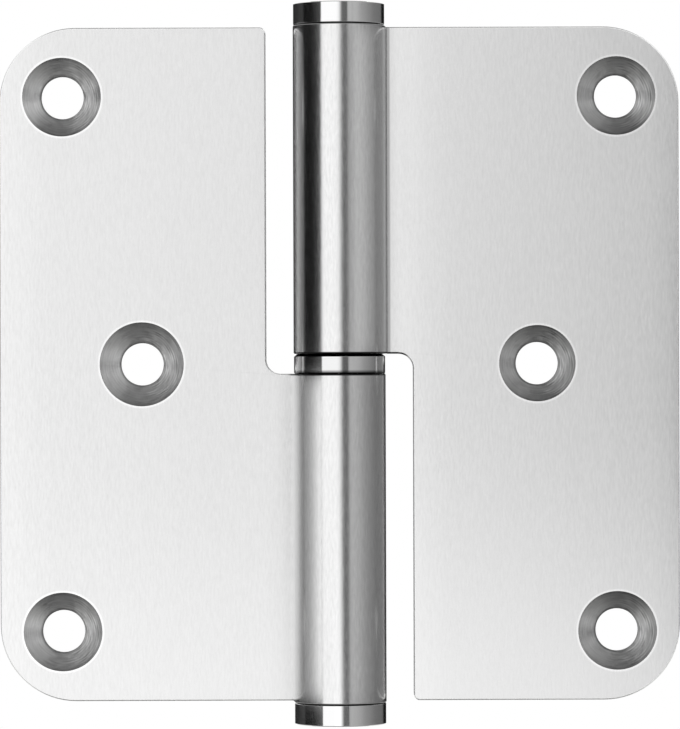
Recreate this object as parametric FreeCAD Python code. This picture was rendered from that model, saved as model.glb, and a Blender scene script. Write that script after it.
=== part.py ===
"""Lift off door hinge, 89 mm high, in 3 mm stainless sheet.

Two leaves are pressed from sheet, and each is rolled into one knuckle. The frame
leaf has the lower knuckle, which holds a fixed pin. The door leaf has the upper
knuckle, which turns on that pin and lifts off it. A bearing ring lies between
the knuckles, and a turned plug closes the outer end of each.

Millimetres. Z runs up the pin's axis, with 0 midway between the knuckles. The
frame leaf reaches to -X and the door leaf to +X. The countersunk faces look to
-Y, where the barrel stands proud of them, and the flat backs lie at +Y.
"""

import FreeCAD, Part
import math
import os

# Sheet and leaves
SHEET = 3.0
LEAF_HEIGHT = 89.0
LEAF_REACH = 44.9
CORNER_R = 10.0
INNER_CORNER_R = 0.8
EDGE_BREAK = 0.2

# Barrel, with a small gap where the roll's end comes back to the leaf
BORE_D = 6.1
SEAM_FLARE = 0.3
SEAM_GAP = 0.1

# Cut-out that clears the other leaf's knuckle
BARREL_CLEARANCE = 3.65
NOTCH_R = 1.9

# Screw holes, placed from the leaf's outer edge and its ends
HOLE_D = 5.6
COUNTERSINK_ANGLE = 90.0
CORNER_COUNTERSINK_D = 10.4
FRAME_MIDDLE_COUNTERSINK_D = 11.1
DOOR_MIDDLE_COUNTERSINK_D = 10.1
RIM_BREAK = 0.15
RIM_DEPTH = 0.05
CORNER_HOLE_SIDE_INSET = 8.25
CORNER_HOLE_END_INSET = 9.15
MIDDLE_HOLE_SIDE_INSET = 18.75

# Pin, with the splined length that bites in the lower knuckle
PIN_CLEARANCE = 0.05
PIN_FOOT_SPACE = 0.3
PIN_FOOT_BREAK = 0.5
PIN_TIP_SPACE = 1.5
PIN_TIP_TAPER = 1.4
PIN_TIP_DRAW = 0.4
PIN_TIP_R = 0.8
GRIP_START = 4.0
GRIP_LENGTH = 12.0
GRIP_TEETH = 24
GRIP_DEPTH = 0.18

# Bearing ring, which is a running fit between the knuckles
RING_THICKNESS = 2.5
RING_END_GAP = 0.05
RING_SETBACK = 0.05
RING_TOP_BREAK = 0.3
RING_TOP_DEPTH = 0.4
RING_FOOT_BREAK = 0.1
RING_BORE_BREAK = 0.2

# End caps
CAP_SETBACK = 0.05
CAP_HEAD = 2.8
CAP_END_BREAK = 0.08
CAP_SEAT_BREAK = 0.12
SPIGOT_CLEARANCE = 0.02
SPIGOT_LENGTH = 5.0
SPIGOT_BREAK = 0.5

# Worked out from the sizes above
BORE_R = BORE_D / 2
KNUCKLE_R = BORE_R + SHEET
BACK_Y = KNUCKLE_R
FACE_Y = BACK_Y - SHEET
HALF_HEIGHT = LEAF_HEIGHT / 2
KNUCKLE_START = RING_THICKNESS / 2 + RING_END_GAP
NOTCH_X = KNUCKLE_R + BARREL_CLEARANCE
PIN_R = BORE_R - PIN_CLEARANCE
PIN_FOOT_Z = SPIGOT_LENGTH + PIN_FOOT_SPACE - HALF_HEIGHT
PIN_TIP_Z = HALF_HEIGHT - SPIGOT_LENGTH - PIN_TIP_SPACE

CENTRE = FreeCAD.Vector(0, 0, 0)
UP = FreeCAD.Vector(0, 0, 1)
TO_DOOR = FreeCAD.Vector(1, 0, 0)
TO_BACK = FreeCAD.Vector(0, 1, 0)
TINY = 1e-6


def point(x, y, z=0.0):
    """A point in the part's frame."""
    return FreeCAD.Vector(x, y, z)


def on_circle(radius, degrees):
    """A point on a circle round the pin's axis, counted from +X towards +Y."""
    angle = math.radians(degrees)
    return point(radius * math.cos(angle), radius * math.sin(angle))


def line(start, end):
    """A straight edge."""
    return Part.LineSegment(start, end).toShape()


def arc(start, through, end):
    """An arc edge through three points."""
    return Part.Arc(start, through, end).toShape()


def polygon_face(corners):
    """The flat face inside a run of corner points."""
    return Part.Face(Part.makePolygon(corners + [corners[0]]))


def turned(profile):
    """A solid of revolution round the Z axis from its (radius, z) corners."""
    section = polygon_face([point(radius, 0, z) for radius, z in profile])
    return section.revolve(CENTRE, UP, 360)


def edge_nearest(shape, place):
    """The edge whose middle lies nearest to a place."""
    return min(shape.Edges, key=lambda edge: edge.CenterOfMass.distanceToPoint(place))


def seam_end():
    """The outer corner of the roll's end, just clear of the leaf's face."""
    return point(KNUCKLE_R + SEAM_FLARE, FACE_Y - SEAM_GAP)


def seam_angle():
    """Where the roll leaves its circle on the tangent that runs to the seam, in degrees."""
    end = seam_end()
    tangent = math.acos(KNUCKLE_R / end.Length)
    return math.degrees(math.atan2(end.y, end.x) - tangent)


def roll():
    """The knuckle: one curl of sheet from the back, over the front and down to the leaf."""
    leave = seam_angle()
    halfway = (leave - 270) / 2
    outer_leave = on_circle(KNUCKLE_R, leave)
    inner_leave = on_circle(BORE_R, leave)
    outer_end = seam_end()
    run = (outer_end - outer_leave).normalize()
    inner_end = inner_leave + run * ((outer_end.y - inner_leave.y) / run.y)
    edges = [
        line(point(0, FACE_Y), point(0, BACK_Y)),
        arc(point(0, BACK_Y), on_circle(KNUCKLE_R, halfway), outer_leave),
        line(outer_leave, outer_end),
        line(outer_end, inner_end),
        line(inner_end, inner_leave),
        arc(inner_leave, on_circle(BORE_R, halfway), point(0, FACE_Y)),
    ]
    section = Part.Face(Part.Wire(edges))
    section.translate(UP * KNUCKLE_START)
    curl = section.extrude(UP * (HALF_HEIGHT - KNUCKLE_START))
    rims = [
        edge
        for edge in curl.Edges
        if edge.BoundBox.ZLength < TINY and edge.BoundBox.XLength > TINY
    ]
    return curl.makeChamfer(EDGE_BREAK, rims)


def plate():
    """The flat of the leaf, from the middle of the back of its roll to the outer edge."""
    corner_rounds = [
        (0, HALF_HEIGHT, 0),
        (LEAF_REACH, HALF_HEIGHT, CORNER_R),
        (LEAF_REACH, -HALF_HEIGHT, CORNER_R),
        (NOTCH_X, -HALF_HEIGHT, INNER_CORNER_R),
        (NOTCH_X, KNUCKLE_START, NOTCH_R),
        (0, KNUCKLE_START, 0),
    ]
    outline = polygon_face([point(x, FACE_Y, z) for x, z, _ in corner_rounds])
    sheet = outline.extrude(TO_BACK * SHEET)
    for x, z, radius in corner_rounds:
        if radius:
            corner = edge_nearest(sheet, point(x, FACE_Y + SHEET / 2, z))
            sheet = sheet.makeFillet(radius, [corner])
    rims = [
        edge
        for edge in sheet.Edges
        if edge.BoundBox.YLength < TINY and edge.BoundBox.XMax > TINY
    ]
    return sheet.makeChamfer(EDGE_BREAK, rims)


def screw_hole(x, z, countersink_d):
    """The cutter of one hole: a bore, a cone up to the face and a rim with its edge broken."""
    hole_r = HOLE_D / 2
    sink_r = countersink_d / 2
    slope = math.tan(math.radians(COUNTERSINK_ANGLE / 2))
    above = SHEET
    below = -2 * SHEET
    cutter = turned(
        [
            (0, above),
            (sink_r + RIM_BREAK, above),
            (sink_r + RIM_BREAK, 0),
            (sink_r - RIM_DEPTH * slope, -RIM_DEPTH),
            (hole_r, (hole_r - sink_r) / slope),
            (hole_r, below),
            (0, below),
        ]
    )
    cutter.rotate(CENTRE, TO_DOOR, 90)
    cutter.translate(point(x, FACE_Y, z))
    return cutter


def pressed_leaf(middle_countersink_d):
    """A leaf as it lies on the door's side, with its knuckle up and its plate to +X."""
    corner_x = LEAF_REACH - CORNER_HOLE_SIDE_INSET
    corner_z = HALF_HEIGHT - CORNER_HOLE_END_INSET
    middle_x = LEAF_REACH - MIDDLE_HOLE_SIDE_INSET
    cutters = [
        screw_hole(corner_x, corner_z, CORNER_COUNTERSINK_D),
        screw_hole(middle_x, 0, middle_countersink_d),
        screw_hole(corner_x, -corner_z, CORNER_COUNTERSINK_D),
    ]
    return plate().fuse(roll()).removeSplitter().cut(cutters)


def end_for_end(shape):
    """Turns a piece of the door's side into its twin on the frame's side."""
    shape.rotate(CENTRE, TO_BACK, 180)
    return shape


def door_leaf():
    """The leaf that lifts off, with the upper knuckle."""
    return pressed_leaf(DOOR_MIDDLE_COUNTERSINK_D)


def frame_leaf():
    """The leaf that stays, which is the same pressing with its knuckle down."""
    return end_for_end(pressed_leaf(FRAME_MIDDLE_COUNTERSINK_D))


def grip():
    """The pin's splined length, a star of V teeth whose crests reach the bore."""
    pitch = 360 / GRIP_TEETH
    corners = []
    for tooth in range(GRIP_TEETH):
        corners.append(on_circle(BORE_R, tooth * pitch))
        corners.append(on_circle(BORE_R - GRIP_DEPTH, (tooth + 0.5) * pitch))
    star = polygon_face(corners)
    star.translate(UP * -(KNUCKLE_START + GRIP_START + GRIP_LENGTH))
    return star.extrude(UP * GRIP_LENGTH)


def hinge_pin():
    """The fixed pin, with a drawn and rounded tip that the door leaf drops over."""
    shank = turned(
        [
            (0, PIN_FOOT_Z),
            (PIN_R - PIN_FOOT_BREAK, PIN_FOOT_Z),
            (PIN_R, PIN_FOOT_Z + PIN_FOOT_BREAK),
            (PIN_R, PIN_TIP_Z - PIN_TIP_TAPER),
            (PIN_R - PIN_TIP_DRAW, PIN_TIP_Z),
            (0, PIN_TIP_Z),
        ]
    )
    tip_edges = [edge for edge in shank.Edges if edge.BoundBox.ZMin > PIN_TIP_Z - TINY]
    shank = shank.makeFillet(PIN_TIP_R, tip_edges)
    return shank.fuse(grip()).removeSplitter()


def bearing_ring():
    """The loose ring between the knuckles, which carries the door's weight."""
    ring_r = KNUCKLE_R - RING_SETBACK
    foot = -RING_THICKNESS / 2
    top = RING_THICKNESS / 2
    return turned(
        [
            (BORE_R, foot + RING_BORE_BREAK),
            (BORE_R + RING_BORE_BREAK, foot),
            (ring_r - RING_FOOT_BREAK, foot),
            (ring_r, foot + RING_FOOT_BREAK),
            (ring_r, top - RING_TOP_BREAK),
            (ring_r - RING_TOP_DEPTH, top),
            (BORE_R + RING_BORE_BREAK, top),
            (BORE_R, top - RING_BORE_BREAK),
        ]
    )


def top_cap():
    """The turned plug in the upper knuckle: a flat head, and a spigot that fits the bore."""
    cap_r = KNUCKLE_R - CAP_SETBACK
    spigot_r = BORE_R - SPIGOT_CLEARANCE
    seat = HALF_HEIGHT
    top = seat + CAP_HEAD
    spigot_end = seat - SPIGOT_LENGTH
    return turned(
        [
            (0, top),
            (cap_r - CAP_END_BREAK, top),
            (cap_r, top - CAP_END_BREAK),
            (cap_r, seat + CAP_SEAT_BREAK),
            (cap_r - CAP_SEAT_BREAK, seat),
            (spigot_r, seat),
            (spigot_r, spigot_end + SPIGOT_BREAK),
            (spigot_r - SPIGOT_BREAK, spigot_end),
            (0, spigot_end),
        ]
    )


def bottom_cap():
    """The same plug in the lower knuckle."""
    return end_for_end(top_cap())


def main():
    """Writes one STEP file for each piece."""
    os.makedirs("parts", exist_ok=True)
    pieces = {
        "frame_leaf": frame_leaf(),
        "door_leaf": door_leaf(),
        "hinge_pin": hinge_pin(),
        "bearing_ring": bearing_ring(),
        "top_cap": top_cap(),
        "bottom_cap": bottom_cap(),
    }
    for name, shape in pieces.items():
        if len(shape.Solids) != 1 or not shape.isValid():
            raise RuntimeError(f"{name} is not one valid solid")
        shape.Solids[0].exportStep(f"parts/{name}.step")
        box = shape.BoundBox
        print(f"{name}: {box.XLength:.2f} x {box.YLength:.2f} x {box.ZLength:.2f} mm")


main()
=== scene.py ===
"""Looks of the lift off hinge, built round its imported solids.

Sizes are in millimetres and angles in degrees, unless a name says otherwise. Z runs
up the pin's axis, the countersunk faces look to -Y, the door leaf reaches to +X and
the frame leaf to -X.
"""

import logging
import math
from dataclasses import dataclass, field
from enum import Enum

import bpy
import numpy as np
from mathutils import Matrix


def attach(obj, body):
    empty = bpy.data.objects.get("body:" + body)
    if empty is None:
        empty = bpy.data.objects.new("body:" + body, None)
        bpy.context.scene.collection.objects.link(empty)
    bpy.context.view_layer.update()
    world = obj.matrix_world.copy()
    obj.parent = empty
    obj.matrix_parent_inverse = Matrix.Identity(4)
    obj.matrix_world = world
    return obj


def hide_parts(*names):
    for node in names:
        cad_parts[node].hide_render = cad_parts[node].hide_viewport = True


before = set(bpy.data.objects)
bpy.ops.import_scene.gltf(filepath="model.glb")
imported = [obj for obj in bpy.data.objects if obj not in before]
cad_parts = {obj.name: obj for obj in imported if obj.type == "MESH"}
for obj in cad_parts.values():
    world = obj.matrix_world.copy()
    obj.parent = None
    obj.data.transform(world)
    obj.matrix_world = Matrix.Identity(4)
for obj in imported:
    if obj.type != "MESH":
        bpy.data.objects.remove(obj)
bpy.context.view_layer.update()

MM = 0.001
LOG = logging.getLogger("hinge")
WHITE = (1.0, 1.0, 1.0, 1.0)


class Side(Enum):
    """Which way a leaf lies from the pin, as the sign of its X."""

    FRAME = -1
    DOOR = 1


class Surface(Enum):
    """The finishes that one leaf shows, as material slots of its mesh."""

    SHEET = 0
    SINK = 1
    EDGE = 2
    WALL = 3


def linear_colour(code: str) -> tuple[float, float, float, float]:
    """Turns an sRGB hex colour into linear light.

    Args:
        code: Six hex digits with a leading #.

    Returns:
        Red, green, blue and an alpha of 1.
    """
    parts = [int(code[place : place + 2], 16) / 255 for place in (1, 3, 5)]
    light = [p / 12.92 if p <= 0.04045 else ((p + 0.055) / 1.055) ** 2.4 for p in parts]
    return (*light, 1.0)


def add_node(tree: bpy.types.NodeTree, kind: str, inputs: dict | None = None, **settings) -> bpy.types.Node:
    """Adds a node with its settings and links.

    Args:
        tree: The node tree it goes into.
        kind: Blender's name of the node's type.
        inputs: Socket name or number to a value, or to an output to link from.
        **settings: Properties of the node.

    Returns:
        The node.
    """
    made = tree.nodes.new(kind)
    for name, value in settings.items():
        setattr(made, name, value)
    for socket, value in (inputs or {}).items():
        if isinstance(value, bpy.types.NodeSocket):
            tree.links.new(value, made.inputs[socket])
        else:
            made.inputs[socket].default_value = value
    return made


def empty_tree(owner: bpy.types.Material | bpy.types.World) -> bpy.types.NodeTree:
    """Gives a material or world a node tree with nothing in it.

    Args:
        owner: The material or world.

    Returns:
        The tree.
    """
    owner.use_nodes = True
    owner.node_tree.nodes.clear()
    return owner.node_tree


def add_object(name: str, shape: bpy.types.ID) -> bpy.types.Object:
    """Adds an object to the scene, at the origin.

    Args:
        name: Its name.
        shape: Its mesh or camera.

    Returns:
        The object.
    """
    made = bpy.data.objects.new(name, shape)
    bpy.context.scene.collection.objects.link(made)
    return made


def rounded_run(corners: list, radii: list, step: float = 6.0) -> tuple[np.ndarray, np.ndarray]:
    """Straight lines from corner to corner, with each inner corner rounded.

    A corner that turns by an angle t gets an arc of its radius, which touches both
    lines at radius times tan(t / 2) from the corner. Its points are the arc's centre
    plus or minus the radius times the first line's normal, turned from 0 to t.

    Args:
        corners: Corner points in the plane.
        radii: One radius for each inner corner; 0 keeps it sharp.
        step: Degrees of turn between points on an arc.

    Returns:
        The points, and at each its unit normal to the right of the way.
    """
    corners = np.asarray(corners, dtype=float)
    runs = np.diff(corners, axis=0)
    ways = runs / np.linalg.norm(runs, axis=1)[:, None]
    rights = np.stack([ways[:, 1], -ways[:, 0]], axis=1)
    points = [corners[:1]]
    normals = [rights[:1]]
    for place, radius in enumerate(radii):
        before = ways[place]
        after = ways[place + 1]
        turn = math.atan2(before[0] * after[1] - before[1] * after[0], before @ after)
        bend = math.copysign(1.0, turn)
        start = corners[place + 1] - before * radius * math.tan(abs(turn) / 2)
        centre = start - bend * radius * rights[place]
        count = max(2, math.ceil(abs(math.degrees(turn)) / step) + 1)
        angles = np.linspace(0, turn, count)[:, None]
        sideways = np.array([-rights[place][1], rights[place][0]])
        spun = np.cos(angles) * rights[place] + np.sin(angles) * sideways
        points.append(centre + bend * radius * spun)
        normals.append(spun)
    points.append(corners[-1:])
    normals.append(rights[-1:])
    return np.concatenate(points), np.concatenate(normals)


def divided(points: np.ndarray, normals: np.ndarray, longest: float) -> tuple[np.ndarray, np.ndarray]:
    """Puts more points on the long stretches of a run, at equal shares of each.

    Args:
        points: The run's points.
        normals: The normal at each.
        longest: The longest stretch that stays whole.

    Returns:
        The longer run's points and normals.
    """
    spans = np.linalg.norm(np.diff(points, axis=0), axis=1)
    counts = np.maximum(1, np.ceil(spans / longest - 1e-9)).astype(int)
    stretch = np.repeat(np.arange(len(spans)), counts)
    first = np.repeat(np.cumsum(counts) - counts, counts)
    share = ((np.arange(len(stretch)) - first) / counts[stretch])[:, None]
    more = points[stretch] * (1 - share) + points[stretch + 1] * share
    more_normals = normals[stretch] * (1 - share) + normals[stretch + 1] * share
    more_normals /= np.linalg.norm(more_normals, axis=1)[:, None]
    return np.concatenate([more, points[-1:]]), np.concatenate([more_normals, normals[-1:]])


def along(points: np.ndarray) -> np.ndarray:
    """The distance run at each point of a line."""
    return np.concatenate([[0.0], np.cumsum(np.linalg.norm(np.diff(points, axis=0), axis=1))])


@dataclass
class Patch:
    """A grid of points that is one smooth stretch of a surface.

    Attributes:
        points: Rows by columns by 3, in mm.
        normals: The surface's unit normal at each point.
        places: Rows by columns by 2, the distances in mm that patterns follow.
        surface: The finish on it.
        tone: Rows by columns, how much lighter or darker the steel is there, painted shade and highlights
            among it; 1 is plain.
    """

    points: np.ndarray
    normals: np.ndarray
    places: np.ndarray
    surface: Surface
    tone: np.ndarray


@dataclass
class Skin:
    """The patches of one piece, welded into one closed mesh.

    Attributes:
        name: The piece's name.
        patches: What it is made of.
    """

    name: str
    patches: list = field(default_factory=list)

    def add(self, points, normals, places, surface: Surface = Surface.SHEET, tone=1.0) -> None:
        """Adds a patch, with a single normal or tone spread over its grid."""
        tones = np.broadcast_to(tone, points.shape[:2])
        self.patches.append(Patch(points, np.broadcast_to(normals, points.shape), places, surface, tones))

    def corners(self) -> dict[str, np.ndarray]:
        """Every quad's four corners, patch by patch, turned to face outwards.

        The quad at row i and column j has the points (i, j), (i, j + 1), (i + 1, j + 1)
        and (i + 1, j). A patch whose quads face against its normals is turned round.

        Returns:
            Arrays of faces by 4 for points, normals, places and tone, and one
            surface number for each face.
        """
        told = {"points": [], "normals": [], "places": [], "tone": [], "surface": []}
        for patch in self.patches:
            fields = {}
            for name in ("points", "normals", "places", "tone"):
                grid = getattr(patch, name)
                quads = np.stack([grid[:-1, :-1], grid[:-1, 1:], grid[1:, 1:], grid[1:, :-1]], axis=2)
                fields[name] = quads.reshape(-1, 4, *grid.shape[2:])
            corner = fields["points"]
            faces = np.cross(corner[:, 2] - corner[:, 0], corner[:, 3] - corner[:, 1])
            if (faces * fields["normals"].mean(axis=1)).sum() < 0:
                fields = {name: quads[:, ::-1] for name, quads in fields.items()}
            for name, quads in fields.items():
                told[name].append(quads)
            told["surface"].append(np.full(len(corner), patch.surface.value))
        return {name: np.concatenate(parts) for name, parts in told.items()}

    def build(self) -> bpy.types.Object:
        """Makes the mesh object.

        Points that agree to a ten-thousandth of a millimetre become one vertex. A quad
        with two corners on one vertex becomes a triangle, and one with fewer than three
        different corners is left out.

        Returns:
            The object, at the origin.
        """
        told = self.corners()
        flat = told["points"].reshape(-1, 3)
        keys = np.round(flat * 1e4).astype(np.int64)
        _, first, index = np.unique(keys, axis=0, return_index=True, return_inverse=True)
        corner = index.reshape(-1, 4)
        keep = corner != np.roll(corner, -1, axis=1)
        keep &= (keep.sum(axis=1) >= 3)[:, None]
        totals = keep.sum(axis=1)
        faces = totals > 0
        totals = totals[faces]
        mesh = bpy.data.meshes.new(self.name)
        mesh.vertices.add(len(first))
        mesh.vertices.foreach_set("co", (flat[first] * MM).astype(np.float32).ravel())
        mesh.loops.add(int(totals.sum()))
        mesh.loops.foreach_set("vertex_index", corner[keep].astype(np.int32))
        mesh.polygons.add(len(totals))
        mesh.polygons.foreach_set("loop_start", (np.cumsum(totals) - totals).astype(np.int32))
        mesh.polygons.foreach_set("material_index", told["surface"][faces].astype(np.int32))
        layer = mesh.uv_layers.new(name="distance")
        layer.uv.foreach_set("vector", told["places"][keep].astype(np.float32).ravel())
        tone = mesh.attributes.new("tone", "FLOAT", "CORNER")
        tone.data.foreach_set("value", told["tone"][keep].astype(np.float32))
        mesh.update(calc_edges=True)
        normals = told["normals"][keep]
        normals = normals / np.linalg.norm(normals, axis=1)[:, None]
        mesh.normals_split_custom_set(normals.tolist())
        LOG.info("%s: %d vertices, %d faces", self.name, len(first), len(totals))
        return add_object(self.name, mesh)


@dataclass(frozen=True)
class Steel:
    """A stainless finish whose marks run one way.

    Attributes:
        name: The real material and process.
        colour: Its sRGB colour.
        roughness: How far it spreads a reflection.
        marks: Width, length and depth of one mark, in mm.
        waves: Length and depth of the slow waves in the surface, in mm.
        tint: Share by which the marks change the colour.
        haze: Share by which the marks change the roughness.
        anisotropy: How much more it spreads a reflection across the marks than along them.
        turn: A quarter where the marks run across the U direction's spread.
        on_places: Whether the marks follow the surface's own distances.
    """

    name: str
    colour: str
    roughness: float
    marks: tuple
    waves: tuple
    tint: float
    haze: float = 0.12
    anisotropy: float = 0.0
    turn: float = 0.0
    on_places: bool = True

    def material(self) -> bpy.types.Material:
        """Builds the material.

        Marks are noise drawn out to their length and squeezed to their width. The same
        noise tints the steel, changes its roughness and stands as a fine relief. A
        second noise, as slow as the sheet's own waves, bends the reflections a little.

        Returns:
            The material.
        """
        made = bpy.data.materials.new(self.name)
        tree = empty_tree(made)
        place = add_node(tree, "ShaderNodeTexCoord")
        across = 1 / self.marks[0]
        down = 1 / self.marks[1]
        source = place.outputs["UV" if self.on_places else "Object"]
        scale = (down, across, 1.0) if self.on_places else (across / MM, across / MM, down / MM)
        slow = 1 / (self.waves[0] * MM)
        slowly = {"Vector": place.outputs["Object"], "Scale": (slow, slow, slow * 0.6)}
        marks_at = add_node(tree, "ShaderNodeMapping", {"Vector": source, "Scale": scale})
        waves_at = add_node(tree, "ShaderNodeMapping", slowly)
        fine = {"Vector": marks_at.outputs[0], "Scale": 1.0, "Detail": 3.0, "Roughness": 0.6}
        broad = {"Vector": waves_at.outputs[0], "Scale": 1.0, "Detail": 1.0, "Roughness": 0.4}
        marks = add_node(tree, "ShaderNodeTexNoise", fine).outputs["Fac"]
        waves = add_node(tree, "ShaderNodeTexNoise", broad).outputs["Fac"]
        light = linear_colour(self.colour)
        low = tuple(part * (1 - self.tint) for part in light[:3]) + (1.0,)
        high = tuple(min(1.0, part * (1 + self.tint)) for part in light[:3]) + (1.0,)
        tinted = add_node(tree, "ShaderNodeMix", {0: marks, 6: low, 7: high}, data_type="RGBA")
        # The mesh's tone, which holds the painted shade and highlights, scales the colour.
        tone = add_node(tree, "ShaderNodeAttribute", attribute_name="tone")
        both = {0: 1.0, 6: tinted.outputs[2], 7: tone.outputs["Fac"]}
        toned = add_node(tree, "ShaderNodeMix", both, data_type="RGBA", blend_type="MULTIPLY")
        spread = {
            "Value": marks,
            "From Min": 0.3,
            "From Max": 0.7,
            "To Min": self.roughness * (1 - self.haze),
            "To Max": self.roughness * (1 + self.haze),
        }
        rough = add_node(tree, "ShaderNodeMapRange", spread)
        bend = {"Height": waves, "Strength": 1.0, "Distance": self.waves[1] * MM}
        waviness = add_node(tree, "ShaderNodeBump", bend).outputs[0]
        cut = {"Height": marks, "Strength": 1.0, "Distance": self.marks[2] * MM, "Normal": waviness}
        relief = add_node(tree, "ShaderNodeBump", cut)
        grain = add_node(tree, "ShaderNodeTangent", direction_type="UV_MAP", uv_map="distance")
        steel = {
            "Base Color": toned.outputs[2],
            "Metallic": 1.0,
            "Roughness": rough.outputs[0],
            "Anisotropic": self.anisotropy,
            "Anisotropic Rotation": self.turn,
            "Tangent": grain.outputs[0],
            "Normal": relief.outputs[0],
        }
        shader = add_node(tree, "ShaderNodeBsdfPrincipled", steel)
        add_node(tree, "ShaderNodeOutputMaterial", {"Surface": shader.outputs[0]})
        return made


# Cold rolled stainless sheet, belt ground along the height: pale, and soft across its upright lines.
# A 240 grit belt leaves lines 0.06 mm wide, too fine to show, so they are drawn four times as coarse
BRUSHED_SHEET = Steel(
    "stainless_sheet_belt_ground",
    "#E6E6E6",
    roughness=0.16,
    marks=(0.27, 1.3, 0.0004),
    waves=(9.0, 0.006),
    tint=0.14,
    anisotropy=0.65,
    on_places=False,
)

# The same sheet cut by the countersink, with rings and chatter left by the tool; its darker colour is partly
# painted shade for the recess
COUNTERSINK_CUT_AND_SHADED = Steel(
    "stainless_countersink_shaded_and_cut",
    "#BEBEBE",
    roughness=0.42,
    marks=(0.3, 2.2, 0.01),
    waves=(1.6, 0.02),
    tint=0.26,
    haze=0.3,
    anisotropy=0.7,
    turn=0.25,
)

# The blanked and deburred edge of the sheet: a little rougher than the face
BLANKED_EDGE = Steel(
    "stainless_edge_deburred",
    "#F6F6F6",
    roughness=0.33,
    marks=(0.15, 1.2, 0.001),
    waves=(6.0, 0.01),
    tint=0.05,
    haze=0.15,
)

# The drilled wall of a screw hole: torn and dull, and painted darker as the shade inside the hole, so it
# reads as a dark line
HOLE_WALL_DRILLED_AND_SHADED = Steel(
    "stainless_hole_wall_shaded_and_drilled",
    "#747474",
    roughness=0.5,
    marks=(0.08, 3.0, 0.004),
    waves=(2.0, 0.01),
    tint=0.2,
    haze=0.2,
)

# Stainless bar turned in a lathe and buffed: bright, with fine rings that run round it
TURNED_PLUG = Steel(
    "stainless_bar_turned_and_buffed",
    "#F0F0F0",
    roughness=0.1,
    marks=(0.09, 30.0, 0.0005),
    waves=(12.0, 0.004),
    tint=0.03,
    anisotropy=0.2,
    turn=0.25,
)

# The ring and the pin, turned and ground: a shade greyer than the plugs
GROUND_BAR = Steel(
    "stainless_bar_turned_and_ground",
    "#E6E6E6",
    roughness=0.1,
    marks=(0.09, 30.0, 0.0005),
    waves=(12.0, 0.004),
    tint=0.04,
)

# The edges in the joints between the turned pieces are painted nearly black: the shade that falls in those
# grooves, with some oil held there
JOINT_PAINTED_SHADE = 0.97

MATERIALS: dict[str, bpy.types.Material] = {}


def finish_material(finish: Steel) -> bpy.types.Material:
    """The finish's material, made once and shared."""
    if finish.name not in MATERIALS:
        MATERIALS[finish.name] = finish.material()
    return MATERIALS[finish.name]


@dataclass
class Rays:
    """A hole's rays, from its centre to the border of its cell.

    Attributes:
        centre: The hole's centre as (x, z).
        border: The border's points as (x, z).
    """

    centre: tuple[float, float]
    border: np.ndarray

    def __post_init__(self) -> None:
        """Works out the rays' unit directions, and their angles in radians."""
        away = self.border - np.array(self.centre)
        self.ways = away / np.linalg.norm(away, axis=1)[:, None]
        self.angle = np.unwrap(np.arctan2(self.ways[:, 1], self.ways[:, 0]))


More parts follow.
